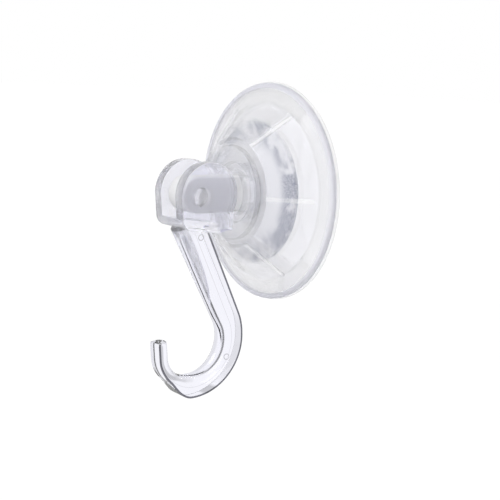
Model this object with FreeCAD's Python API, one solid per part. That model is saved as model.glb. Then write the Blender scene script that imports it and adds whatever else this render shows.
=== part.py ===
import FreeCAD, Part
import math
import os

Vector = FreeCAD.Vector

# Millimetres, +Z up. The wall is the plane y = 0, +Y points into it, and the origin is the
# middle of the suction cup's sealing lip. "reach" is a distance out from the wall, along -Y.

# Suction cup, one soft moulding: dished disc, raised hub, round neck and flat-sided stud
cup_radius = 31.0
lip_thickness = 0.5
lip_land = 1.8
dish_depth = 3.4
skirt_thickness = 0.55
hub_foot_thickness = 1.0
hub_thickness = 3.2
hub_crown = 0.3
hub_edge_round = 0.6
hub_middle_radius = 9.5
neck_margin = 0.05
neck_root_radius = 1.0
neck_overlap = 1.2
stud_thickness = 6.6
stud_height = 9.9
stud_nose_advance = 1.05
stud_corner_radius = 0.5
boss_radius = 2.65
pin_drop = 0.5

# Cover, one rigid moulding: rim, flange, ribbed cone, collar and guide sleeve
rim_inset = 0.3
rim_height = 1.05
rim_round = 0.95
rim_wall = 1.5
rim_lip_height = 0.2
flange_width = 5.3
flange_wall = 1.0
cone_height = 9.95
cover_wall = 1.4
shoulder_width = 2.0
collar_height = 1.3
collar_taper = 0.6
collar_width = 6.5
collar_wall = 2.4
sleeve_wall = 2.0
bore_chamfer = 0.5
rib_count = 6
rib_width = 1.2
rib_height = 0.5

# Hook, one rigid moulding: two cam ears, web, pivot bosses and a J shaped shank
ear_thickness = 3.3
cam_radius = 9.1
cam_offset = 1.1
cam_rise = 0.5
ear_front_lean = 6.0
heel_inset = 1.0
heel_rise = 0.8
ear_toe_radius = 3.2
web_thickness = 2.7
web_slope = 6.5
web_back = 5.2
boss_length = 2.1
boss_chamfer = 0.4
ear_edge_radius = 0.4

shank_slope = 27.5
shank_root_radius = 3.9
shank_root_depth = 4.3
shank_end_radius = 3.05
shank_end_depth = 4.1
bend_back = 0.6
bend_drop = 40.8
bend_radius = 12.5
bend_side_radius = 3.1
bend_side_depth = 3.9
bend_bottom_radius = 3.05
bend_bottom_depth = 3.3
curl_radius = 9.4
curl_turn = 84.0
curl_middle_radius = 2.5
curl_middle_depth = 0.95
tip_radius = 2.35
tip_depth = 1.3
tip_length = 5.0
tip_chamfer = 0.7
shank_back_round = 0.45
shank_sections = 24

# Clearances
lip_clearance = 0.45
skirt_clearance = 0.35
hub_clearance = 0.6
sleeve_clearance = 1.7
neck_clearance = 0.3
slot_clearance = 0.3
boss_clearance = 0.05
nose_clearance = 0.4
cam_clearance = 1.55

# Derived sizes across the cup and the cover
neck_radius = math.hypot(stud_thickness, stud_height) / 2 + neck_margin
bore_radius = neck_radius + neck_clearance
sleeve_radius = bore_radius + sleeve_wall
collar_radius = bore_radius + collar_width
collar_base_radius = collar_radius + collar_taper
cone_top_radius = collar_base_radius + shoulder_width
cover_radius = cup_radius - rim_inset
cone_base_radius = cover_radius - flange_width
cone_slope = math.atan2(cone_height, cone_base_radius - cone_top_radius)
inner_base_radius = cone_base_radius - cover_wall / math.sin(cone_slope) + flange_wall / math.tan(cone_slope)
dish_edge_radius = cup_radius - lip_land
dish_sphere_radius = (dish_edge_radius ** 2 + dish_depth ** 2) / (2 * dish_depth)

# Derived sizes of the hook's clevis
stud_half_height = stud_height / 2
nose_swing_radius = math.hypot(stud_nose_advance, pin_drop) + stud_half_height
web_floor_depth = nose_swing_radius + nose_clearance
clevis_depth = web_floor_depth + web_thickness
ear_heel_reach = cam_offset + cam_radius - heel_inset
slot_half = stud_thickness / 2 + slot_clearance
clevis_half = slot_half + ear_thickness
hole_radius = boss_radius + boss_clearance


def dish_reach(radius):
    """How far the cup's hollow back stands off the wall at a radius."""
    return math.sqrt(dish_sphere_radius ** 2 - radius ** 2) - dish_sphere_radius + dish_depth


# Derived reaches, from the wall outwards
cup_skirt_reach = dish_reach(inner_base_radius) + skirt_thickness
rim_skirt_reach = lip_thickness + lip_clearance
rim_reach = rim_skirt_reach + rim_height
flange_floor = cup_skirt_reach + skirt_clearance
cone_base_reach = flange_floor + flange_wall
cone_top_reach = cone_base_reach + cone_height
collar_reach = cone_top_reach + collar_height
inner_top_reach = collar_reach - collar_wall
hub_middle_reach = dish_depth + hub_thickness
hub_edge_reach = hub_middle_reach - hub_crown
sleeve_end_reach = hub_middle_reach + sleeve_clearance
neck_end_reach = sleeve_end_reach + neck_overlap
pin_reach = collar_reach + cam_clearance + cam_radius + math.hypot(cam_offset, cam_rise)
pin_centre = Vector(0, -pin_reach, -pin_drop)


def ring_point(radius, reach):
    return Vector(radius, -reach, 0)


def inner_cone_radius(reach):
    """The cover's inside radius at a reach within its cone."""
    return inner_base_radius - (reach - flange_floor) / math.tan(cone_slope)


def side_point(back, up):
    """A point in the hook's middle plane, measured from the pin, back towards the wall."""
    return pin_centre + Vector(0, back, up)


def closed_face(points):
    return Part.Face(Part.makePolygon(points + [points[0]]))


def turned(face):
    return face.revolve(Vector(0, 0, 0), Vector(0, 1, 0), 360)


def cross_cylinder(radius, start, length):
    return Part.makeCylinder(radius, length, pin_centre + Vector(start, 0, 0), Vector(1, 0, 0))


def arc_edge(start, middle, end):
    return Part.Arc(start, middle, end).toShape()


def line_edge(start, end):
    return Part.LineSegment(start, end).toShape()


def rounded_corner(before, corner, after, radius):
    """The two tangent points and the middle point of a round at a corner of a profile."""
    to_before = (before - corner).normalize()
    to_after = (after - corner).normalize()
    half_angle = to_before.getAngle(to_after) / 2
    setback = radius / math.tan(half_angle)
    bisector = (to_before + to_after).normalize()
    centre = corner + bisector * (radius / math.sin(half_angle))
    return corner + to_before * setback, centre - bisector * radius, corner + to_after * setback


def cup_disc():
    """The dished disc with its hub and neck, turned about the cup's axis."""
    lip = ring_point(cup_radius, 0)
    land_end = ring_point(dish_edge_radius, 0)
    lip_front = ring_point(cup_radius, lip_thickness)
    skirt = ring_point(inner_base_radius, cup_skirt_reach)
    hub_radius = inner_cone_radius(hub_edge_reach) - hub_clearance
    hub_foot = ring_point(hub_radius, dish_reach(hub_radius) + hub_foot_thickness)
    hub_edge = ring_point(hub_radius, hub_edge_reach)
    hub_middle = ring_point(hub_middle_radius, hub_middle_reach)
    neck_foot = ring_point(neck_radius, hub_middle_reach)
    neck_top = ring_point(neck_radius, neck_end_reach)
    axis_top = ring_point(0, neck_end_reach)
    axis_bottom = ring_point(0, dish_depth)
    dish_middle = ring_point(hub_middle_radius, dish_reach(hub_middle_radius))
    edge_start, edge_middle, edge_end = rounded_corner(hub_foot, hub_edge, hub_middle, hub_edge_round)
    root_start, root_middle, root_end = rounded_corner(hub_middle, neck_foot, neck_top, neck_root_radius)
    edges = [
        line_edge(lip, lip_front),
        arc_edge(lip_front, skirt, hub_foot),
        line_edge(hub_foot, edge_start),
        arc_edge(edge_start, edge_middle, edge_end),
        line_edge(edge_end, hub_middle),
        line_edge(hub_middle, root_start),
        arc_edge(root_start, root_middle, root_end),
        line_edge(root_end, neck_top),
        line_edge(neck_top, axis_top),
        line_edge(axis_top, axis_bottom),
        arc_edge(axis_bottom, dish_middle, land_end),
        line_edge(land_end, lip),
    ]
    return turned(Part.Face(Part.Wire(edges)))


def cup_stud():
    """The flat-sided stud: parallel top and bottom, and a full round nose past the pin."""
    nose_reach = pin_reach + stud_nose_advance
    top_root = Vector(0, -neck_end_reach, stud_half_height)
    top_front = Vector(0, -nose_reach, stud_half_height)
    nose = Vector(0, -nose_reach - stud_half_height, 0)
    bottom_front = Vector(0, -nose_reach, -stud_half_height)
    bottom_root = Vector(0, -neck_end_reach, -stud_half_height)
    wire = Part.Wire([
        line_edge(top_root, top_front),
        arc_edge(top_front, nose, bottom_front),
        line_edge(bottom_front, bottom_root),
        line_edge(bottom_root, top_root),
    ])
    face = Part.Face(wire)
    face.translate(Vector(-stud_thickness / 2, 0, 0))
    stud = face.extrude(Vector(stud_thickness, 0, 0))
    long_edges = [edge for edge in stud.Edges if is_along_reach(edge)]
    return stud.makeFillet(stud_corner_radius, long_edges)


def is_along_reach(edge):
    if edge.Curve.TypeId != "Part::GeomLine":
        return False
    return abs(edge.Curve.Direction.y) > 0.99


def make_suction_cup():
    body = cup_disc().fuse(cup_stud())
    hole = cross_cylinder(hole_radius, -stud_thickness, 2 * stud_thickness)
    return body.cut(hole).removeSplitter()


def cover_shell():
    """The cover's wall in section, with its rounded rim, turned about the cup's axis."""
    rim_corner = ring_point(cover_radius, rim_reach)
    flange_end = ring_point(cone_base_radius, cone_base_reach)
    skirt_end = ring_point(cover_radius, rim_skirt_reach)
    round_start, round_middle, round_end = rounded_corner(skirt_end, rim_corner, flange_end, rim_round)
    outline = [
        round_end,
        flange_end,
        ring_point(cone_top_radius, cone_top_reach),
        ring_point(collar_base_radius, cone_top_reach),
        ring_point(collar_radius, collar_reach),
        ring_point(bore_radius + bore_chamfer, collar_reach),
        ring_point(bore_radius, collar_reach - bore_chamfer),
        ring_point(bore_radius, sleeve_end_reach),
        ring_point(sleeve_radius, sleeve_end_reach),
        ring_point(sleeve_radius, inner_top_reach),
        ring_point(inner_cone_radius(inner_top_reach), inner_top_reach),
        ring_point(inner_base_radius, flange_floor),
        ring_point(cover_radius - rim_wall, rim_skirt_reach + rim_lip_height),
        ring_point(cover_radius - rim_wall, rim_skirt_reach),
        skirt_end,
        round_start,
    ]
    edges = [line_edge(start, end) for start, end in zip(outline, outline[1:])]
    edges.append(arc_edge(round_start, round_middle, round_end))
    return turned(Part.Face(Part.Wire(edges)))


def cover_rib():
    """One raised rib that runs down the cone, on the +X side, its foot sunk into the wall."""
    sink = cover_wall / 2
    along = ring_point(cone_top_radius, cone_top_reach) - ring_point(cone_base_radius, cone_base_reach)
    outward = Vector(-along.y, along.x, 0).normalize()
    if outward.x < 0:
        outward = outward * -1
    base = ring_point(cone_base_radius, cone_base_reach)
    top = ring_point(cone_top_radius, cone_top_reach)
    face = closed_face([
        base - outward * sink,
        base + outward * rib_height,
        top + outward * rib_height,
        top - outward * sink,
    ])
    face.translate(Vector(0, 0, -rib_width / 2))
    return face.extrude(Vector(0, 0, rib_width))


def make_cover():
    shell = cover_shell()
    ribs = []
    for index in range(rib_count):
        rib = cover_rib()
        rib.rotate(Vector(0, 0, 0), Vector(0, 1, 0), index * 360 / rib_count)
        ribs.append(rib)
    return shell.fuse(ribs).removeSplitter()


def sole_point(back):
    """A point on the ears' flat sole, which drops towards the wall."""
    return side_point(back, -clevis_depth - back * math.tan(math.radians(web_slope)))


def toe_point():
    front = cam_offset - cam_radius
    return sole_point(front + clevis_depth * math.tan(math.radians(ear_front_lean)))


def ear_profile():
    """Side view of an ear: a round cam behind and above the pin, a sole and a raised heel."""
    cam_centre = side_point(cam_offset, cam_rise)
    cam_drop = math.sqrt(cam_radius ** 2 - (ear_heel_reach - cam_offset) ** 2)
    heel_sole = sole_point(web_back) + Vector(0, 0, heel_rise)
    lower = closed_face([
        side_point(cam_offset - cam_radius, cam_rise),
        toe_point(),
        sole_point(web_back),
        heel_sole,
        heel_sole + Vector(0, ear_heel_reach - web_back, 0),
        side_point(ear_heel_reach, cam_rise - cam_drop),
        cam_centre,
    ])
    cam = Part.Face(Part.Wire(Part.makeCircle(cam_radius, cam_centre, Vector(1, 0, 0))))
    return lower.fuse(cam).removeSplitter().Faces[0]


def clevis_block():
    face = ear_profile()
    face.translate(Vector(-clevis_half, 0, 0))
    block = face.extrude(Vector(2 * clevis_half, 0, 0))
    toe_edges = [edge for edge in block.Edges if edge.CenterOfMass.distanceToPoint(toe_point()) < 0.01]
    return block.makeFillet(ear_toe_radius, toe_edges)


def slot_prism(points):
    face = closed_face(points)
    face.translate(Vector(-slot_half, 0, 0))
    return face.extrude(Vector(2 * slot_half, 0, 0))


def slot_over_web():
    """The gap between the ears, down to the web's sloping floor."""
    rise = math.tan(math.radians(web_slope))
    floor = -web_floor_depth
    reach = 2 * cam_radius
    return slot_prism([
        side_point(-reach, floor + reach * rise),
        side_point(reach, floor - reach * rise),
        side_point(reach, reach),
        side_point(-reach, reach),
    ])


def slot_behind_web():
    """The gap between the ears' heels, open downwards."""
    reach = 2 * cam_radius
    return slot_prism([
        side_point(web_back, 0),
        side_point(web_back, -reach),
        side_point(reach, -reach),
        side_point(reach, 0),
    ])


def outer_ear_edges(shape):
    edges = []
    for edge in shape.Edges:
        if abs(abs(edge.CenterOfMass.x) - clevis_half) < 0.01:
            edges.append(edge)
    return edges


def pivot_boss(side):
    """A round boss on the inner face of one ear, chamfered at its free end."""
    start = Vector(side * (slot_half + ear_thickness / 2), 0, 0) + pin_centre
    length = boss_length + ear_thickness / 2
    boss = Part.makeCylinder(boss_radius, length, start, Vector(-side, 0, 0))
    free_end = side * (slot_half - boss_length)
    end_edges = [edge for edge in boss.Edges if abs(edge.CenterOfMass.x - free_end) < 0.01]
    return boss.makeChamfer(boss_chamfer, end_edges)


def bullet_section(point, inward, radius, depth):
    """A shank section: flat back with rounded corners, flat sides, half round inner side."""
    across = Vector(radius, 0, 0)
    back = inward * -depth
    in_from_side = Vector(shank_back_round, 0, 0)
    in_from_back = inward * shank_back_round
    near_back = point + across + back
    far_back = point - across + back
    near_middle = near_back - (in_from_side - in_from_back) * (1 - math.sqrt(0.5))
    far_middle = far_back + (in_from_side + in_from_back) * (1 - math.sqrt(0.5))
    return Part.Wire([
        line_edge(far_back + in_from_side, near_back - in_from_side),
        arc_edge(near_back - in_from_side, near_middle, near_back + in_from_back),
        line_edge(near_back + in_from_back, point + across),
        arc_edge(point + across, point + inward * radius, point - across),
        line_edge(point - across, far_back + in_from_back),
        arc_edge(far_back + in_from_back, far_middle, far_back + in_from_side),
    ])


def direction(angle):
    """A unit vector in the middle plane, measured from +Y towards +Z."""
    return Vector(0, math.cos(math.radians(angle)), math.sin(math.radians(angle)))


def shank_path():
    """The J's middle line as runs of (length, start point, start angle, turn), from the clevis.

    The angle of a direction is measured in the middle plane, from +Y towards +Z.
    """
    slope = shank_slope - 90
    bend_centre = side_point(bend_back, -bend_drop)
    bend_start = bend_centre + direction(shank_slope) * bend_radius
    root_drop = clevis_depth - web_thickness / 2
    straight_drop = bend_drop - root_drop - bend_radius * math.sin(math.radians(shank_slope))
    straight = straight_drop / math.cos(math.radians(shank_slope))
    root = bend_start - direction(slope) * straight
    bottom = bend_centre + direction(-90) * bend_radius
    curl_angle = math.radians(curl_turn)
    curl_end = bottom + Vector(0, -math.sin(curl_angle), 1 - math.cos(curl_angle)) * curl_radius
    bend_turn = -90 - shank_slope
    return [
        (straight, root, slope, 0),
        (bend_radius * math.radians(-bend_turn), bend_start, slope, bend_turn),
        (curl_radius * curl_angle, bottom, -180, -curl_turn),
        (tip_length, curl_end, -180 - curl_turn, 0),
    ]


def along_path(path, distance):
    """The point and the heading at a distance along the runs of a path."""
    for length, start, angle, turn in path:
        if distance <= length + 1e-9:
            break
        distance = distance - length
    heading = angle + turn * distance / length
    if turn == 0:
        return start + direction(angle) * distance, heading
    radius = length / math.radians(abs(turn))
    centre = start + direction(angle - 90) * radius
    return centre + direction(heading + 90) * radius, heading


def shank_sizes(path):
    """Half round radius and flat depth at their stations along the path."""
    straight, bend, curl, tip = [run[0] for run in path]
    bend_side = bend * shank_slope / (90 + shank_slope)
    return [
        (0, shank_root_radius, shank_root_depth),
        (straight, shank_end_radius, shank_end_depth),
        (straight + bend_side, bend_side_radius, bend_side_depth),
        (straight + bend, bend_bottom_radius, bend_bottom_depth),
        (straight + bend + curl / 2, curl_middle_radius, curl_middle_depth),
        (straight + bend + curl, tip_radius, tip_depth),
        (straight + bend + curl + tip, tip_radius, tip_depth),
    ]


def size_at(stations, distance):
    """The sizes at a distance, eased from one station to the next past the straight run."""
    for before, after in zip(stations, stations[1:]):
        if distance <= after[0] + 1e-9:
            break
    share = (distance - before[0]) / (after[0] - before[0])
    if before is not stations[0]:
        share = share * share * (3 - 2 * share)
    return [start + (end - start) * share for start, end in zip(before[1:], after[1:])]


def hook_shank():
    """The J, lofted through bullet sections that taper from the clevis, and its chamfered tip."""
    path = shank_path()
    stations = shank_sizes(path)
    total = stations[-1][0]
    sections = []
    for index in range(shank_sections + 1):
        distance = (total - tip_chamfer) * index / shank_sections
        point, heading = along_path(path, distance)
        radius, depth = size_at(stations, distance)
        sections.append(bullet_section(point, direction(heading - 90), radius, depth))
    tip_end, heading = along_path(path, total)
    tip_section = bullet_section(
        tip_end, direction(heading - 90), tip_radius - tip_chamfer, tip_depth - tip_chamfer)
    run = Part.makeLoft(sections, True, False)
    tip = Part.makeLoft([sections[-1], tip_section], True, True)
    return run.fuse(tip)


def make_hook():
    block = clevis_block()
    block = block.makeFillet(ear_edge_radius, outer_ear_edges(block))
    clevis = block.cut([slot_over_web(), slot_behind_web()])
    shank = hook_shank().cut(slot_over_web())
    bosses = [pivot_boss(1), pivot_boss(-1)]
    return clevis.fuse(bosses + [shank]).removeSplitter()


parts = {
    "suction_cup": make_suction_cup(),
    "cover": make_cover(),
    "hook": make_hook(),
}

os.makedirs("parts", exist_ok=True)
for name, shape in parts.items():
    solid = shape.Solids[0]
    solid.exportStep("parts/" + name + ".step")
    print(name, "solids", len(shape.Solids), "valid", solid.isValid(), "volume", round(solid.Volume, 1))
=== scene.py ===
import bmesh
import bpy
import math
from mathutils import Matrix, Vector


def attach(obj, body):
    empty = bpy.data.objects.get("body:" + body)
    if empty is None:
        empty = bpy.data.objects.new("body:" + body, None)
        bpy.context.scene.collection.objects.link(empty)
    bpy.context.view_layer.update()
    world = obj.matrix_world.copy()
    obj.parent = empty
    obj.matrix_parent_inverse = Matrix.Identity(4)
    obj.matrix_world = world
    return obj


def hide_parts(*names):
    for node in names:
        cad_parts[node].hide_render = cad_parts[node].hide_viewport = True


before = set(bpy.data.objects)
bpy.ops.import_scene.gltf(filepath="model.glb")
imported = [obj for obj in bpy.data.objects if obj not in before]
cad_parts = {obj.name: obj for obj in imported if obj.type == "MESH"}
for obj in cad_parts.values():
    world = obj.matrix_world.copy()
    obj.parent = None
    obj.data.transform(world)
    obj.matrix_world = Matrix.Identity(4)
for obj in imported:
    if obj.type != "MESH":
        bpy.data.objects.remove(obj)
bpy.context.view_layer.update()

MM = 0.001

# Steps around lathed rings and pivots, around the cams, and along and across the shank.
AROUND = 144
PIVOT_STEPS = 64
CAM_STEPS = 180
SHANK_STEPS = 240
FRONT_STEPS = 48
CORNER_STEPS = 4
ROUND_STEPS = 4
# Edges of a block that turn by more than this, in radians, are rounded.
SHARP_ANGLE = 0.7

# Sizes in millimetres. "reach" is a distance out from the wall, along -Y, as in the CAD model.
# Pairs are (radius, reach) on the cup and the cover, and (back, up) from the pin on the hook.
CUP_RADIUS = 31.0
LAND_RADIUS = 29.2
LIP_EDGE = 0.5
LIP_END = (30.2, 0.56)
LIP_ROUNDS = (0.12, 0.2)
SKIRT_MIDDLE = (24.42, 1.582)
DISH_DEPTH = 3.4
DISH_SPHERE = (LAND_RADIUS ** 2 + DISH_DEPTH ** 2) / (2 * DISH_DEPTH)
DISH_STEPS = 28
SKIRT_STEPS = 26
HUB_RADIUS = 19.43
HUB_STEP_RADIUS = 9.5
HUB_MIDDLE = 6.6
HUB_EDGE = 6.3
HUB_FOOT_THICKNESS = 1.0
HUB_ROUNDS = (0.6, 2.0, 1.0, 0)
NECK_RADIUS = 6.0
NECK_END = 9.5
PIN_REACH = 26.0401
PIN_DROP = 0.5
STUD_HALF_WIDTH = 3.3
STUD_HALF_HEIGHT = 4.95
STUD_ADVANCE = 1.05
STUD_ROOT = NECK_END - 0.6
STUD_ROUND = 0.5
NOSE_STEPS = 32
HOLE_RADIUS = 2.7

CONE_FOOT = (25.4, 2.93)
CONE_TOP = (15.4, 12.88)
RIB_HALF_WIDTH = 0.6
RIB_HEIGHT = 0.5
RIB_SINK = 0.7
RIB_ROUND = 0.12
RIB_COUNT = 6

BOSS_RADIUS = 2.65
BOSS_END = 1.5
BOSS_CHAMFER = 0.4
SLOT_HALF = 3.6
BOSS_ROOT = SLOT_HALF + 1.65
CLEVIS_HALF = 6.9
CAM_RADIUS = 9.1
CAM_CENTRE = (1.1, 0.5)
HEEL = 9.2
HEEL_RISE = 0.8
EAR_LEAN = 6.0
EAR_ROUNDS = (3.2, 0.25, 0.25, 0.4)
EAR_EDGE_ROUND = 0.4
WEB_FLOOR = 6.513
CLEVIS_DEPTH = 9.213
WEB_RISE = math.tan(math.radians(6.5))
WEB_BACK = 5.2

SHANK_SLOPE = 27.5
BEND_CENTRE = (0.6, -40.8)
BEND_RADIUS = 12.5
CURL_RADIUS = 9.4
CURL_TURN = 84.0
TIP_LENGTH = 5.0
TIP_CHAMFER = 0.7
TIP_SHOULDER = (0.25, 0.2)
# Half width and depth behind the middle line, from the clevis to the tip.
SHANK_SIZES = (
    (3.9, 4.3), (3.05, 4.1), (3.1, 3.9), (3.05, 3.3), (2.5, 0.95), (2.35, 1.3), (2.35, 1.3))
BACK_ROUND = 0.09
# The painted shade strip's width on the side (a dark line standing for refraction at the back corners),
# how near the middle line it may come, and the mould seam.
SHADE_STRIP_WIDTH = 0.6
STRIP_LIMIT = 0.35
SEAM_WIDTH = 0.15
SEAM_SHADE = 0.35
# How far in from the shank's side a face of the painted shade strip or the seam may lie.
STRIP_REACH = 0.12
SEAM_REACH = 0.02

# Ejector marks on both flat sides, as (y, z), and their radius, half line width and darkness.
EJECTOR_MARKS = ((-14.3, -46.4), (-25.3, -11.6))
EJECTOR_RADIUS = 0.8
EJECTOR_LINE = 0.24
EJECTOR_SHADE = 0.75

CLEAR_TINT = (0.94, 0.94, 1.0, 1)
# Painted shade: the rim's grey tint stands for the soft shading of the rounded rim.
RIM_SHADE_TINT = (0.75, 0.75, 0.81, 1)
# Painted shade: the dark tint of the shank's back-corner strips, standing for refraction there; also
# the ejector marks' colour.
EDGE_SHADE = (0.03, 0.03, 0.04, 1)
MILKY = (0.99, 0.99, 1.0, 1)
CLEAR_DEPTHS = (0.80, 0.80, 0.92, 1.0)
VINYL_SKIRT = (0.96, 0.96, 0.985, 1)
VINYL_HUB = (0.88, 0.885, 0.90, 1)
VINYL_PATCH = (0.23, 0.25, 0.33, 1)
VINYL_STUD = (0.88, 0.88, 0.89, 1)

# The hub's patches: more noise level at pivot height, and its fall per metre above and below.
PATCH_LIFT = 0.06
PATCH_FALL = 7.0

# The misted rim and its painted grey shade start at this radius and blend in over the next distance.
RIM_FROM = 29.0
RIM_BLEND = 0.4
RIM_MIST = 0.42
RIM_CLEARNESS = 0.6
RIB_MILKINESS = 0.30

# How solid the pieces are to look at, by place.
SKIRT_ALPHA = 0.25
COVER_ALPHA = {"cone": 0.52, "flange": 0.36, "collar": 0.46, "rim": 0.85, "rib": 0.80}
HOOK_ALPHA = {"shank": 1.0, "ears": 0.78, "pin": 0.32}

FLOOR_HEIGHT = -0.12
FLOOR_SIZE = 6.0
FLOOR_TONES = ((0.90, 0.90, 0.90, 1), (0.93, 0.93, 0.93, 1))

# The photograph's line of sight, the key light's side, and two dark uprights in what clear
# plastic sees: degrees from -X towards +Y, half width, depth.
VIEW = (-0.789, 0.593, -0.160)
KEY = (-0.45, -0.75, 0.48)
STRIPS = ((73.5, 0.18, 0.97), (13.0, 0.18, 0.40))

LAMP_AIM = (0, -0.02, -0.02)

CAMERA_AZIMUTH = 53.05
CAMERA_ELEVATION = 9.21
CAMERA_ROLL = 2.93
CAMERA_AIM = (0, -5.63, -16.74)
CAMERA_DISTANCE = 318
CAMERA_LENS = 80.2


def put(name, bm):
    mesh = bpy.data.meshes.new(name)
    bm.normal_update()
    bm.to_mesh(mesh)
    bm.free()
    piece = bpy.data.objects.new(name, mesh)
    bpy.context.scene.collection.objects.link(piece)
    return piece


def smooth_by_angle(piece, degrees):
    for polygon in piece.data.polygons:
        polygon.use_smooth = True
    piece.data.set_sharp_from_angle(angle=math.radians(degrees))


def apply_modifiers(piece):
    graph = bpy.context.evaluated_depsgraph_get()
    made = bpy.data.meshes.new_from_object(piece.evaluated_get(graph))
    piece.modifiers.clear()
    piece.data = made


def arc_through(start, middle, end, steps):
    """Points on the circle through three (radius, reach) points, from start to end."""
    ax, ay = start
    bx, by = middle
    cx, cy = end
    a, b, c = ax * ax + ay * ay, bx * bx + by * by, cx * cx + cy * cy
    d = 2 * (ax * (by - cy) + bx * (cy - ay) + cx * (ay - by))
    ux = (a * (by - cy) + b * (cy - ay) + c * (ay - by)) / d
    uy = (a * (cx - bx) + b * (ax - cx) + c * (bx - ax)) / d
    radius = math.hypot(ax - ux, ay - uy)
    first = math.atan2(ay - uy, ax - ux)
    last = math.atan2(cy - uy, cx - ux)
    turn = (last - first + math.pi) % (2 * math.pi) - math.pi
    angles = [first + turn * i / steps for i in range(steps + 1)]
    return [(ux + radius * math.cos(angle), uy + radius * math.sin(angle)) for angle in angles]


def rounded(points, radii, steps=6):
    """A polyline with a round of the given radius at each inner point."""
    out = [points[0]]
    for before, corner, after, radius in zip(points, points[1:], points[2:], radii):
        if radius == 0:
            out.append(corner)
            continue
        c = Vector(corner)
        to_before = (Vector(before) - c).normalized()
        to_after = (Vector(after) - c).normalized()
        half = to_before.angle(to_after) / 2
        setback = radius / math.tan(half)
        bisector = (to_before + to_after).normalized()
        centre = c + bisector * (radius / math.sin(half))
        start = c + to_before * setback
        end = c + to_after * setback
        middle = centre - bisector * radius
        out += arc_through(tuple(start), tuple(middle), tuple(end), steps)
    out.append(points[-1])
    return out


def dish_reach(radius):
    return math.sqrt(DISH_SPHERE ** 2 - radius ** 2) - DISH_SPHERE + DISH_DEPTH


def lathe(bm, profile, closed=False):
    """Turns a (radius, reach) outline about Y, from axis to axis or as a closed ring."""
    rings = []
    for radius, reach in profile:
        if radius < 1e-6:
            rings.append([bm.verts.new((0, -reach * MM, 0))])
            continue
        ring = []
        for i in range(AROUND):
            angle = 2 * math.pi * i / AROUND
            across = radius * MM
            ring.append(bm.verts.new((across * math.cos(angle), -reach * MM, across * math.sin(angle))))
        rings.append(ring)
    uppers = rings[1:] + rings[:1] if closed else rings[1:]
    for lower, upper in zip(rings, uppers):
        for i in range(AROUND):
            j = (i + 1) % AROUND
            face = []
            for ring, k in ((lower, i), (lower, j), (upper, j), (upper, i)):
                corner = ring[k % len(ring)]
                if corner not in face:
                    face.append(corner)
            bm.faces.new(face)


def prism(bm, near, far):
    """A closed solid between two outlines with the same number of points."""
    near = [bm.verts.new(point) for point in near]
    far = [bm.verts.new(point) for point in far]
    bm.faces.new(near)
    bm.faces.new(far[::-1])
    for i in range(len(near)):
        j = (i + 1) % len(near)
        bm.faces.new((near[j], near[i], far[i], far[j]))


def skin(bm, rings):
    """A closed solid through rings with the same number of points."""
    bm.faces.new(rings[0])
    bm.faces.new(rings[-1])
    for lower, upper in zip(rings, rings[1:]):
        for i in range(len(lower)):
            j = (i + 1) % len(lower)
            bm.faces.new((lower[i], lower[j], upper[j], upper[i]))


def combined(body, steps):
    """Joins to or cuts from a body each (operation, piece) in turn, and removes those pieces."""
    for operation, tool in steps:
        cut = body.modifiers.new(operation, "BOOLEAN")
        cut.operation = operation
        cut.solver = "EXACT"
        cut.object = tool
    apply_modifiers(body)
    for operation, tool in steps:
        bpy.data.objects.remove(tool)


def finished(body, node, degrees=28):
    """Smooth curved faces with flat faces kept flat, on its CAD body."""
    smooth_by_angle(body, degrees)
    even = body.modifiers.new("even", "WEIGHTED_NORMAL")
    even.keep_sharp = True
    even.weight = 50
    apply_modifiers(body)
    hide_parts(node)
    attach(body, node)
    return body


def cup_profile():
    """Dish, land, thin lip, skirt, hub with its moulded steps, neck."""
    dish_radii = [LAND_RADIUS * i / DISH_STEPS for i in range(DISH_STEPS)]
    dish = [(radius, dish_reach(radius)) for radius in dish_radii]
    lip_top = (CUP_RADIUS, LIP_EDGE)
    lip = rounded([(LAND_RADIUS, 0), (CUP_RADIUS, 0), lip_top, LIP_END], LIP_ROUNDS, ROUND_STEPS)
    foot = (HUB_RADIUS, dish_reach(HUB_RADIUS) + HUB_FOOT_THICKNESS)
    skirt = arc_through(lip_top, SKIRT_MIDDLE, foot, SKIRT_STEPS)
    skirt = [point for point in skirt if point[0] < LIP_END[0] - 0.1]
    edge = (HUB_RADIUS, HUB_EDGE)
    step = (HUB_STEP_RADIUS, HUB_MIDDLE)
    neck_foot = (NECK_RADIUS, HUB_MIDDLE)
    neck_top = (NECK_RADIUS, NECK_END)
    hub = rounded([foot, edge, step, neck_foot, neck_top, (0, NECK_END)], HUB_ROUNDS)
    return dish + lip + skirt + hub[1:]


def block(bm, outline, half_width):
    """A prism across X from a closed (reach, height) outline."""
    prism(bm, *(
        [(across * MM, -reach * MM, up * MM) for reach, up in outline]
        for across in (half_width, -half_width)
    ))


def stud_outline():
    nose = []
    for i in range(NOSE_STEPS + 1):
        angle = math.pi / 2 - math.pi * i / NOSE_STEPS
        reach = PIN_REACH + STUD_ADVANCE + STUD_HALF_HEIGHT * math.cos(angle)
        nose.append((reach, STUD_HALF_HEIGHT * math.sin(angle)))
    return [(STUD_ROOT, STUD_HALF_HEIGHT)] + nose + [(STUD_ROOT, -STUD_HALF_HEIGHT)]


def cross_hole(bm):
    """A cylinder along the pivot, longer than the stud is wide."""
    outline = []
    for i in range(PIVOT_STEPS):
        angle = 2 * math.pi * i / PIVOT_STEPS
        outline.append((
            PIN_REACH + HOLE_RADIUS * math.cos(angle), HOLE_RADIUS * math.sin(angle) - PIN_DROP))
    block(bm, outline, 2 * STUD_HALF_WIDTH)


def solid(name, build):
    """A closed piece from a function that fills a bmesh."""
    bm = bmesh.new()
    build(bm)
    bmesh.ops.recalc_face_normals(bm, faces=bm.faces)
    return put(name, bm)


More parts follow.
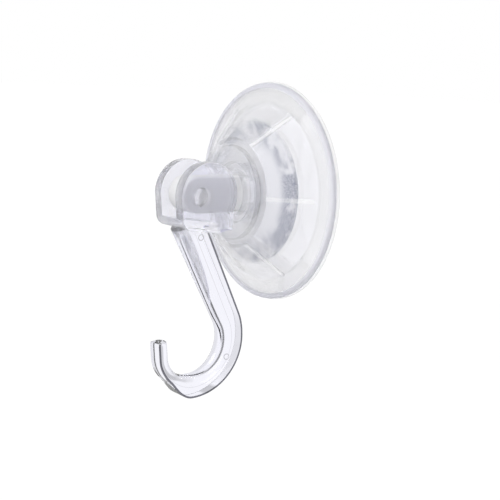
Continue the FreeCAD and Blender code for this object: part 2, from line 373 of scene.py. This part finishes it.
def rounded_block(bm, outline, half_width, radius):
    """A block with rounded edges on its two flat sides."""
    block(bm, outline, half_width)
    bmesh.ops.recalc_face_normals(bm, faces=bm.faces)
    edges = [
        edge for edge in bm.edges
        if edge.calc_face_angle(0) > SHARP_ANGLE
        and abs(edge.verts[0].co.x - edge.verts[1].co.x) < 1e-7
    ]
    bmesh.ops.bevel(
        bm, geom=edges, offset=radius * MM, segments=ROUND_STEPS, profile=0.5, affect="EDGES")


def stud(bm):
    rounded_block(bm, stud_outline(), STUD_HALF_WIDTH, STUD_ROUND)


def make_cup():
    body = solid("suction_cup_mesh", lambda bm: lathe(bm, cup_profile()))
    combined(body, (("UNION", solid("stud", stud)), ("DIFFERENCE", solid("hole", cross_hole))))
    return finished(body, "suction_cup")


def cover_profile():
    """Rim, flange, cone, shoulder, collar, bore and guide sleeve, as (radius, reach, round)."""
    corners = [
        (30.7, 0.95, 0.12),
        (30.7, 2.0, 0.9),
        (*CONE_FOOT, 0.6),
        (*CONE_TOP, 0.5),
        (13.4, 12.88, 0.5),
        (12.8, 14.18, 0.45),
        (6.8, 14.18, 0.3),
        (6.3, 13.68, 0.2),
        (6.3, 8.3, 0.2),
        (8.3, 8.3, 0.2),
        (8.3, 11.78, 0.6),
        (14.52, 11.78, 0.8),
        (24.42, 1.93, 0.5),
        (29.2, 1.15, 0.15),
        (29.2, 0.95, 0.1),
    ]
    points = [corner[:2] for corner in corners]
    radii = [corner[2] for corner in corners]
    ring = rounded(points[-1:] + points + points[:1], radii, 5)
    return ring[1:-1]


def cone_normal():
    """The (radius, reach) direction that stands square on the cone."""
    along = (Vector(CONE_TOP) - Vector(CONE_FOOT)).normalized()
    return Vector((along.y, -along.x))


def rib(bm):
    """One raised rib down the cone on the +X side, with softened edges."""
    foot, top = Vector(CONE_FOOT), Vector(CONE_TOP)
    sunk, raised = cone_normal() * RIB_SINK, cone_normal() * RIB_HEIGHT
    outline = [foot - sunk, foot + raised, top + raised, top - sunk]
    prism(bm, *(
        [(radius * MM, -reach * MM, across * MM) for radius, reach in outline]
        for across in (RIB_HALF_WIDTH, -RIB_HALF_WIDTH)
    ))
    bmesh.ops.recalc_face_normals(bm, faces=bm.faces)
    bmesh.ops.bevel(
        bm, geom=list(bm.edges), offset=RIB_ROUND * MM, segments=2, profile=0.5, affect="EDGES")


def make_cover():
    body = solid("cover_mesh", lambda bm: lathe(bm, cover_profile(), closed=True))
    ribs = []
    for index in range(RIB_COUNT):
        piece = solid("rib", rib)
        piece.data.transform(Matrix.Rotation(index * 2 * math.pi / RIB_COUNT, 4, "Y"))
        ribs.append(("UNION", piece))
    combined(body, ribs)
    return finished(body, "cover")


def from_pin(back, up):
    """(reach, height) of a point given from the pin, back towards the wall and up."""
    return PIN_REACH - back, up - PIN_DROP


def sole(back, depth=CLEVIS_DEPTH):
    return back, -depth - back * WEB_RISE


def ear_outline():
    """Toe, sole, raised heel and the cam's arc."""
    centre_back, centre_up = CAM_CENTRE
    front = centre_back - CAM_RADIUS
    toe = sole(front + CLEVIS_DEPTH * math.tan(math.radians(EAR_LEAN)))
    heel_height = sole(WEB_BACK)[1] + HEEL_RISE
    drop = math.sqrt(CAM_RADIUS ** 2 - (HEEL - centre_back) ** 2)
    outline = rounded([
        (front, centre_up), toe, sole(WEB_BACK), (WEB_BACK, heel_height),
        (HEEL, heel_height), (HEEL, centre_up - drop),
    ], EAR_ROUNDS, 8)
    first = math.atan2(-drop, HEEL - centre_back)
    for i in range(1, CAM_STEPS):
        angle = first + (math.pi - first) * i / CAM_STEPS
        outline.append((
            centre_back + CAM_RADIUS * math.cos(angle), centre_up + CAM_RADIUS * math.sin(angle)))
    return [from_pin(*point) for point in outline]


def clevis(bm):
    rounded_block(bm, ear_outline(), CLEVIS_HALF, EAR_EDGE_ROUND)


def slot(bm, points):
    block(bm, [from_pin(*point) for point in points], SLOT_HALF)


def boss(bm, side):
    """A pivot boss across X, chamfered at its free end, rooted in the ear."""
    sections = (
        (BOSS_ROOT, BOSS_RADIUS),
        (BOSS_END + BOSS_CHAMFER, BOSS_RADIUS),
        (BOSS_END, BOSS_RADIUS - BOSS_CHAMFER),
    )
    rings = []
    for x, radius in sections:
        ring = []
        for i in range(PIVOT_STEPS):
            angle = 2 * math.pi * i / PIVOT_STEPS
            reach, height = from_pin(radius * math.cos(angle), radius * math.sin(angle))
            ring.append(bm.verts.new((side * x * MM, -reach * MM, height * MM)))
        rings.append(ring)
    skin(bm, rings)


def heading(angle):
    """A unit (back, up) vector, measured from the wall's direction upwards."""
    return Vector((math.cos(math.radians(angle)), math.sin(math.radians(angle))))


def shank_runs():
    """The J's middle line as runs of (length, start, start angle, turn), from the clevis."""
    slope = SHANK_SLOPE - 90
    centre = Vector(BEND_CENTRE)
    bend_start = centre + heading(SHANK_SLOPE) * BEND_RADIUS
    root_drop = CLEVIS_DEPTH - (CLEVIS_DEPTH - WEB_FLOOR) / 2
    fall = -BEND_CENTRE[1] - root_drop - BEND_RADIUS * math.sin(math.radians(SHANK_SLOPE))
    straight = fall / math.cos(math.radians(SHANK_SLOPE))
    bottom = centre + heading(-90) * BEND_RADIUS
    turn = math.radians(CURL_TURN)
    curl_end = bottom + Vector((-math.sin(turn), 1 - math.cos(turn))) * CURL_RADIUS
    bend = -90 - SHANK_SLOPE
    return [
        (straight, bend_start - heading(slope) * straight, slope, 0),
        (BEND_RADIUS * math.radians(-bend), bend_start, slope, bend),
        (CURL_RADIUS * turn, bottom, -180, -CURL_TURN),
        (TIP_LENGTH, curl_end, -180 - CURL_TURN, 0),
    ]


def along_runs(runs, distance):
    for length, start, angle, turn in runs:
        if distance <= length + 1e-9:
            break
        distance -= length
    now = angle + turn * distance / length
    if turn == 0:
        return start + heading(angle) * distance, now
    radius = length / math.radians(abs(turn))
    centre = start + heading(angle - 90) * radius
    return centre + heading(now + 90) * radius, now


def shank_stations(runs):
    straight, bend, curl, tip = [run[0] for run in runs]
    side = bend * SHANK_SLOPE / (90 + SHANK_SLOPE)
    places = (0, straight, straight + side, straight + bend, straight + bend + curl / 2,
              straight + bend + curl, straight + bend + curl + tip)
    return [(place,) + size for place, size in zip(places, SHANK_SIZES)]


def size_along(stations, distance):
    for before, after in zip(stations, stations[1:]):
        if distance <= after[0] + 1e-9:
            break
    share = (distance - before[0]) / (after[0] - before[0])
    if before is not stations[0]:
        share = share * share * (3 - 2 * share)
    return [start + (end - start) * share for start, end in zip(before[1:], after[1:])]


def bullet(radius, depth):
    """Section points (across, inward): flat back, rounded corners, flat sides, half round front."""
    points = []
    for side in (1, -1):
        arc = []
        for i in range(CORNER_STEPS + 1):
            angle = math.pi / 2 * i / CORNER_STEPS
            across = radius - BACK_ROUND + BACK_ROUND * math.sin(angle)
            arc.append((side * across, -depth + BACK_ROUND - BACK_ROUND * math.cos(angle)))
        arc.append((side * radius, min(SHADE_STRIP_WIDTH - depth, -STRIP_LIMIT)))
        arc.append((side * radius, -SEAM_WIDTH))
        points += arc if side == 1 else arc[::-1]
        if side == 1:
            for i in range(FRONT_STEPS + 1):
                angle = math.pi * i / FRONT_STEPS
                points.append((radius * math.cos(angle), radius * math.sin(angle)))
    return points


def shank(bm):
    """The J through its sections, with a rounded off, chamfered tip."""
    runs = shank_runs()
    stations = shank_stations(runs)
    total = stations[-1][0]
    places = [(total - TIP_CHAMFER) * i / SHANK_STEPS for i in range(SHANK_STEPS + 1)]
    sizes = [size_along(stations, place) for place in places]
    before_end, inset = TIP_SHOULDER
    tip_radius, tip_depth = sizes[-1]
    places += [total - before_end, total]
    sizes += [
        (tip_radius - inset, tip_depth - inset), (tip_radius - TIP_CHAMFER, tip_depth - TIP_CHAMFER)]
    rings = []
    for place, (radius, depth) in zip(places, sizes):
        middle, angle = along_runs(runs, place)
        inward = heading(angle - 90)
        ring = []
        for across, ahead in bullet(radius, depth):
            reach, height = from_pin(*(middle + inward * ahead))
            ring.append(bm.verts.new((across * MM, -reach * MM, height * MM)))
        rings.append(ring)
    skin(bm, rings)


def make_hook():
    reach = 2 * CAM_RADIUS
    over = [sole(-reach, WEB_FLOOR), sole(reach, WEB_FLOOR), (reach, reach), (-reach, reach)]
    behind = [(WEB_BACK, 0), (WEB_BACK, -reach), (reach, -reach), (reach, 0)]
    body = solid("hook_mesh", clevis)
    combined(body, (
        ("DIFFERENCE", solid("behind_web", lambda bm: slot(bm, behind))),
        ("UNION", solid("shank", shank)),
        ("DIFFERENCE", solid("over_web", lambda bm: slot(bm, over))),
        ("UNION", solid("near_boss", lambda bm: boss(bm, 1))),
        ("UNION", solid("far_boss", lambda bm: boss(bm, -1))),
    ))
    body = finished(body, "hook")
    mark_edge_shade_and_seams(body)
    return body


def mark_edge_shade_and_seams(body):
    """A face value: 1 on the painted shade strips along the shank's back corners, a dark line standing
    for refraction there, less on its mould seams.
    """
    runs = shank_runs()
    stations = shank_stations(runs)
    total = stations[-1][0]
    path = []
    for i in range(SHANK_STEPS + 1):
        place = total * i / SHANK_STEPS
        middle, angle = along_runs(runs, place)
        path.append((middle, heading(angle - 90)) + tuple(size_along(stations, place)))
    mark = body.data.attributes.new("painted_edge_shade_and_seam", "FLOAT", "FACE")
    shank_top = -PIN_DROP - CLEVIS_DEPTH - 0.2
    for polygon in body.data.polygons:
        x, y, z = polygon.center / MM
        if z > shank_top:
            continue
        point = Vector((PIN_REACH + y, z + PIN_DROP))
        middle, inward, radius, depth = min(path, key=lambda part: (part[0] - point).length_squared)
        behind = (point - middle).dot(inward) + depth
        if abs(x) > radius - STRIP_REACH and behind < min(SHADE_STRIP_WIDTH, depth - STRIP_LIMIT):
            mark.data[polygon.index].value = 1.0
        elif abs(x) > radius - SEAM_REACH and -SEAM_WIDTH < behind - depth < 0:
            mark.data[polygon.index].value = SEAM_SHADE


class Nodes:
    """A small writer for one material's or world's node tree."""

    def __init__(self, tree):
        self.tree = tree
        tree.nodes.clear()

    def add(self, kind, settings=None, **inputs):
        node = self.tree.nodes.new(kind)
        for key, value in (settings or {}).items():
            setattr(node, key, value)
        for key, value in inputs.items():
            self.feed(node, key.replace("_", " "), value)
        return node

    def feed(self, node, key, value):
        socket = node.inputs[int(key)] if key.isdigit() else node.inputs[key]
        if isinstance(value, bpy.types.NodeSocket):
            self.tree.links.new(value, socket)
        else:
            socket.default_value = value

    def math(self, operation, a, b=0.0):
        node = self.tree.nodes.new("ShaderNodeMath")
        node.operation = operation
        self.feed(node, "0", a)
        self.feed(node, "1", b)
        return node.outputs[0]

    def ramp(self, value, from_min, from_max, to_min=0.0, to_max=1.0, smooth=True):
        node = self.tree.nodes.new("ShaderNodeMapRange")
        node.interpolation_type = "SMOOTHSTEP" if smooth else "LINEAR"
        self.feed(node, "Value", value)
        self.feed(node, "From Min", from_min)
        self.feed(node, "From Max", from_max)
        self.feed(node, "To Min", to_min)
        self.feed(node, "To Max", to_max)
        return node.outputs[0]

    def mix(self, data_type, factor, a, b):
        """A Mix node; its colour sockets come after its float and vector ones."""
        node = self.tree.nodes.new("ShaderNodeMix")
        node.data_type = data_type
        first = "6" if data_type == "RGBA" else "2"
        second = "7" if data_type == "RGBA" else "3"
        for key, value in (("0", factor), (first, a), (second, b)):
            self.feed(node, key, value)
        return node

    def blend(self, factor, a, b):
        return self.mix("FLOAT", factor, a, b).outputs[0]

    def mix_colour(self, factor, a, b):
        return self.mix("RGBA", factor, a, b).outputs[2]

    def vector(self, operation, a, b=(0, 0, 0)):
        return self.add("ShaderNodeVectorMath", {"operation": operation}, **{"0": a, "1": b})

    def dot(self, a, b):
        return self.vector("DOT_PRODUCT", a, b).outputs["Value"]


def new_material(name):
    material = bpy.data.materials.new(name)
    material.use_nodes = True
    return material, Nodes(material.node_tree)


def dress(piece, material):
    piece.data.materials.clear()
    piece.data.materials.append(material)


def spread(nodes, a, b):
    """The length of an offset with two parts."""
    squares = nodes.math("MULTIPLY", a, a), nodes.math("MULTIPLY", b, b)
    return nodes.math("SQRT", nodes.math("ADD", *squares))


def off_pin(nodes, y, z):
    """Distance from the hook's pivot axis."""
    return spread(nodes, nodes.math("ADD", y, PIN_REACH * MM), nodes.math("ADD", z, PIN_DROP * MM))


def cover_zones(nodes, x, y, z):
    """The cover: a misted rim tinted grey as painted shade, clearer flange and collar, and slightly
    milky ribs.
    """
    around = spread(nodes, x, z)
    edge = (RIM_FROM * MM, (RIM_FROM + RIM_BLEND) * MM)
    mist = nodes.ramp(around, *edge, 0.0, RIM_MIST)
    clear = nodes.ramp(around, *edge, 1.0, RIM_CLEARNESS)
    rim = nodes.ramp(clear, RIM_CLEARNESS, 1.0, 1.0, 0.0)
    alpha = nodes.ramp(around, 24.5 * MM, 25.8 * MM, COVER_ALPHA["cone"], COVER_ALPHA["flange"])
    collar = nodes.ramp(y, -13.3 * MM, -12.5 * MM, 1.0, 0.0)
    alpha = nodes.blend(collar, alpha, COVER_ALPHA["collar"])
    alpha = nodes.blend(rim, alpha, COVER_ALPHA["rim"])

    # Only the ribs stand above the cone. Lift is how far they do, measured square to it.
    outward = cone_normal()
    beyond_foot = nodes.math("SUBTRACT", around, CONE_FOOT[0] * MM)
    behind_foot = nodes.math("ADD", y, CONE_FOOT[1] * MM)
    lift = nodes.math(
        "SUBTRACT",
        nodes.math("MULTIPLY", beyond_foot, outward.x),
        nodes.math("MULTIPLY", behind_foot, outward.y))
    within = nodes.ramp(around, 25.0 * MM, 25.3 * MM, 1.0, 0.0)
    ribs = nodes.math("MULTIPLY", nodes.ramp(lift, 0.1 * MM, 0.4 * MM), within)
    alpha = nodes.blend(ribs, alpha, COVER_ALPHA["rib"])
    clear = nodes.math("SUBTRACT", clear, nodes.math("MULTIPLY", ribs, RIB_MILKINESS))
    # The rim's grey is painted shade for its rounded edge; the ribs are milky.
    tint = nodes.mix_colour(ribs, nodes.mix_colour(rim, CLEAR_TINT, RIM_SHADE_TINT), MILKY)
    return tint, mist, clear, alpha


def hook_zones(nodes, x, y, z):
    """The hook: clearer ears and pivots, painted shade on the back corners, mould seams and ejector
    marks.
    """
    alpha = nodes.ramp(z, -12.5 * MM, -9.5 * MM, HOOK_ALPHA["shank"], HOOK_ALPHA["ears"])
    thinner = HOOK_ALPHA["ears"] - HOOK_ALPHA["pin"]
    pin = nodes.ramp(off_pin(nodes, y, z), 2.6 * MM, 2.8 * MM, thinner, 0.0)
    alpha = nodes.math("SUBTRACT", alpha, pin)
    # Painted shade on the shank's back-corner strips and the darker mould seams, read from the face
    # value.
    dark = nodes.add("ShaderNodeAttribute", {"attribute_name": "painted_edge_shade_and_seam"}).outputs["Fac"]
    side = nodes.ramp(nodes.math("ABSOLUTE", x), 2.7 * MM, 2.9 * MM)
    for along, high in EJECTOR_MARKS:
        aside, above = nodes.math("SUBTRACT", y, along * MM), nodes.math("SUBTRACT", z, high * MM)
        off_line = nodes.math("SUBTRACT", spread(nodes, aside, above), EJECTOR_RADIUS * MM)
        ring = nodes.ramp(
            nodes.math("ABSOLUTE", off_line), 0.0, EJECTOR_LINE * MM, EJECTOR_SHADE, 0.0)
        dark = nodes.math("MAXIMUM", dark, nodes.math("MULTIPLY", ring, side))
    # The painted shade shows only from outside, so that no streak shows through the body from its far
    # corner.
    outside = nodes.math("SUBTRACT", 1.0, nodes.add("ShaderNodeNewGeometry").outputs["Backfacing"])
    tint = nodes.mix_colour(nodes.math("MULTIPLY", outside, dark), CLEAR_TINT, EDGE_SHADE)
    return tint, 0.0, 1.0, alpha


def clear_plastic(name, zones, roughness, density, ripple, bend):
    """Rigid clear moulding, polished and faintly wavy; zones says what differs by place."""
    material, nodes = new_material(name)
    place = nodes.add("ShaderNodeTexCoord").outputs["Object"]
    wave = nodes.add("ShaderNodeTexNoise", Vector=place, Scale=180.0, Detail=2.0).outputs[0]
    grain = nodes.add("ShaderNodeTexNoise", Vector=place, Scale=2600.0, Detail=1.0).outputs[0]
    height = nodes.math("ADD", wave, nodes.math("MULTIPLY", grain, 0.05))
    bump = nodes.add("ShaderNodeBump", Strength=ripple, Distance=0.0004, Height=height).outputs[0]
    x, y, z = nodes.add("ShaderNodeSeparateXYZ", Vector=place).outputs
    tint, mist, clear, alpha = zones(nodes, x, y, z)
    polish = nodes.ramp(wave, 0.35, 0.75, roughness * 0.7, roughness * 1.4)
    rough = nodes.math("ADD", polish, mist)
    shader = nodes.add(
        "ShaderNodeBsdfPrincipled", Base_Color=tint, Roughness=rough, IOR=bend, Normal=bump,
        Alpha=alpha, Transmission_Weight=clear)
    absorb = nodes.add("ShaderNodeVolumeAbsorption", Color=CLEAR_DEPTHS, Density=density)
    nodes.add("ShaderNodeOutputMaterial", Surface=shader.outputs[0], Volume=absorb.outputs[0])
    return material


def soft_vinyl():
    """Soft clear vinyl: a glossy thin skirt, a grainy frosted hub face and a milky stud, painted
    lighter towards its top.
    """
    material, nodes = new_material("soft_vinyl_look")
    place = nodes.add("ShaderNodeTexCoord").outputs["Object"]
    x, y, z = nodes.add("ShaderNodeSeparateXYZ", Vector=place).outputs
    around = spread(nodes, x, z)
    cloud = nodes.add("ShaderNodeTexNoise", Vector=place, Scale=170.0, Detail=3.0).outputs[0]
    grain = nodes.add(
        "ShaderNodeTexNoise", Vector=place, Scale=2200.0, Detail=2.0, Roughness=0.7).outputs[0]

    # The hub's face, its outer ring, and cloudy patches in that, more of them at the two sides.
    off_skirt = nodes.ramp(around, 19.5 * MM, 19.8 * MM, 1.0, 0.0)
    face = nodes.math("MULTIPLY", off_skirt, nodes.ramp(y, -5.0 * MM, -4.6 * MM, 1.0, 0.0))
    ring = nodes.math("MULTIPLY", face, nodes.ramp(around, 12.5 * MM, 16.5 * MM))
    fewer = nodes.math("MULTIPLY", nodes.math("ABSOLUTE", z), -PATCH_FALL)
    cloud = nodes.math("ADD", cloud, nodes.math("ADD", fewer, PATCH_LIFT))
    patch = nodes.math("MULTIPLY", ring, nodes.ramp(cloud, 0.36, 0.52))
    fleck = nodes.math("MULTIPLY", patch, nodes.ramp(grain, 0.35, 0.65, 0.45, 1.0))
    stud_part = nodes.ramp(y, -14.0 * MM, -9.5 * MM, 1.0, 0.0)
    # Painted light: the stud is whiter towards its top, standing for light falling on it from above.
    stud_top_painted_light = nodes.math("MULTIPLY", stud_part, nodes.ramp(z, 1.0 * MM, 5.0 * MM, 0.0, 0.7))
    bore = nodes.ramp(off_pin(nodes, y, z), 2.72 * MM, 2.80 * MM, 1.0, 0.0)

    colour = nodes.mix_colour(face, VINYL_SKIRT, VINYL_HUB)
    colour = nodes.mix_colour(fleck, colour, VINYL_PATCH)
    colour = nodes.mix_colour(stud_part, colour, VINYL_STUD)
    colour = nodes.mix_colour(nodes.math("MAXIMUM", bore, stud_top_painted_light), colour, MILKY)
    bump = nodes.add(
        "ShaderNodeBump", Distance=0.0003, Height=grain, Strength=nodes.math("MULTIPLY", face, 0.30))
    rough = nodes.ramp(face, 0.0, 1.0, 0.08, 0.5, smooth=False)
    hub_clear = nodes.ramp(fleck, 0.0, 1.0, 0.55, 0.2)
    clear = nodes.blend(stud_part, nodes.blend(face, 0.93, hub_clear), 0.30)
    clear = nodes.blend(bore, clear, 0.65)
    solid_part = nodes.math(
        "MAXIMUM", nodes.math("MULTIPLY", face, 0.9), nodes.math("MULTIPLY", stud_part, 0.95))
    alpha = nodes.math("MAXIMUM", solid_part, SKIRT_ALPHA)
    shader = nodes.add(
        "ShaderNodeBsdfPrincipled", Base_Color=colour, Roughness=rough, IOR=1.45,
        Normal=bump.outputs[0], Alpha=alpha, Transmission_Weight=clear)
    nodes.add("ShaderNodeOutputMaterial", Surface=shader.outputs[0])
    return material


def surroundings(nodes, way):
    """What clear plastic sees: white, a soft grey belt square to VIEW, and two dark uprights."""
    facing = nodes.math("ABSOLUTE", nodes.dot(way, VIEW))
    tone = nodes.ramp(facing, 0.30, 0.62, 0.80, 1.0)
    for azimuth, half_width, depth in STRIPS:
        turn = math.radians(azimuth)
        ahead = nodes.dot(way, (-math.cos(turn), math.sin(turn), 0))
        aside = nodes.math("ABSOLUTE", nodes.dot(way, (math.sin(turn), math.cos(turn), 0)))
        strip = nodes.ramp(aside, 0.5 * half_width, half_width, depth, 0.0)
        strip = nodes.math("MULTIPLY", strip, nodes.ramp(ahead, 0.3, 0.6))
        tone = nodes.math("SUBTRACT", tone, strip)
    return tone


def seen_in_clear(nodes, ray):
    """1 for a ray that mirrors in or passes through the object and met nothing matte."""
    clear = nodes.math("MAXIMUM", ray["Is Glossy Ray"], ray["Is Transmission Ray"])
    return nodes.math("MULTIPLY", clear, nodes.math("LESS_THAN", ray["Diffuse Depth"], 0.5))


def make_world():
    """White to the eye, surroundings for clear plastic, and a key from the front for the rest."""
    world = bpy.data.worlds.new("studio")
    bpy.context.scene.world = world
    world.use_nodes = True
    nodes = Nodes(world.node_tree)
    way = nodes.add("ShaderNodeTexCoord").outputs["Generated"]
    matte = nodes.ramp(nodes.dot(way, KEY), -0.3, 0.9, 0.48, 1.15)
    ray = nodes.add("ShaderNodeLightPath").outputs
    strength = nodes.blend(seen_in_clear(nodes, ray), matte, surroundings(nodes, way))
    strength = nodes.blend(ray["Is Camera Ray"], strength, 1.0)
    light = nodes.add("ShaderNodeBackground", Color=(1, 1, 1, 1), Strength=strength)
    nodes.add("ShaderNodeOutputWorld", Surface=light.outputs[0])


def make_floor():
    """A white floor well below the hook: white to the eye, and it still takes a shadow."""
    bm = bmesh.new()
    bmesh.ops.create_grid(bm, x_segments=2, y_segments=2, size=FLOOR_SIZE)
    floor = put("floor", bm)
    floor.location = (0, 0, FLOOR_HEIGHT)
    material, nodes = new_material("floor_white")
    place = nodes.add("ShaderNodeTexCoord").outputs["Object"]
    fine = nodes.add("ShaderNodeTexNoise", Vector=place, Scale=40.0, Detail=4.0).outputs[0]
    tone = nodes.mix_colour(nodes.ramp(fine, 0.3, 0.7), *FLOOR_TONES)
    matte = nodes.add("ShaderNodeBsdfDiffuse", Color=tone)
    from_hook = nodes.vector("ADD", place, (0, 0, FLOOR_HEIGHT)).outputs[0]
    way = nodes.vector("NORMALIZE", from_hook).outputs[0]
    ray = nodes.add("ShaderNodeLightPath").outputs
    white = nodes.blend(ray["Is Camera Ray"], surroundings(nodes, way), 1.05)
    glow = nodes.add("ShaderNodeEmission", Color=(1, 1, 1, 1), Strength=white)
    seen = nodes.math("MAXIMUM", ray["Is Camera Ray"], seen_in_clear(nodes, ray))
    mixed = nodes.add("ShaderNodeMixShader", **{
        "0": nodes.math("MULTIPLY", seen, 0.92), "1": matte.outputs[0], "2": glow.outputs[0]})
    nodes.add("ShaderNodeOutputMaterial", Surface=mixed.outputs[0])
    dress(floor, material)


def make_lamp(name, place, size, power):
    data = bpy.data.lights.new(name, "AREA")
    data.shape = "RECTANGLE"
    data.size, data.size_y = size
    data.energy = power
    lamp = bpy.data.objects.new(name, data)
    lamp.location = place
    lamp.rotation_mode = "QUATERNION"
    lamp.rotation_quaternion = (Vector(LAMP_AIM) - Vector(place)).to_track_quat("-Z", "Y")
    bpy.context.scene.collection.objects.link(lamp)


def make_camera():
    azimuth, elevation = math.radians(CAMERA_AZIMUTH), math.radians(CAMERA_ELEVATION)
    roll = math.radians(CAMERA_ROLL)
    level = math.cos(elevation)
    back = Vector((math.sin(azimuth) * level, -math.cos(azimuth) * level, math.sin(elevation)))
    right = (-back).cross(Vector((0, 0, 1))).normalized()
    up = right.cross(-back)
    across = right * math.cos(roll) + up * math.sin(roll)
    upward = up * math.cos(roll) - right * math.sin(roll)
    data = bpy.data.cameras.new("camera")
    data.sensor_width = 36.0
    data.lens = CAMERA_LENS
    data.clip_start = 0.01
    data.clip_end = 50.0
    camera = bpy.data.objects.new("camera", data)
    camera.rotation_mode = "QUATERNION"
    camera.location = Vector(CAMERA_AIM) * MM + back * CAMERA_DISTANCE * MM
    camera.rotation_quaternion = Matrix((across, upward, back)).transposed().to_quaternion()
    bpy.context.scene.collection.objects.link(camera)
    bpy.context.scene.camera = camera


dress(make_cup(), soft_vinyl())
dress(make_cover(), clear_plastic(
    "cover_clear", cover_zones, roughness=0.03, density=8.0, ripple=0.06, bend=1.4))
dress(make_hook(), clear_plastic(
    "hook_clear", hook_zones, roughness=0.01, density=12.0, ripple=0.04, bend=1.5))

make_world()
make_floor()
make_lamp("key", (-0.25, -0.6, 0.55), (0.5, 0.5), 2.2)
make_lamp("fill", (0.75, -0.15, 0.35), (0.4, 0.6), 1.2)
make_camera()
bpy.context.scene.view_settings.view_transform = "Standard"
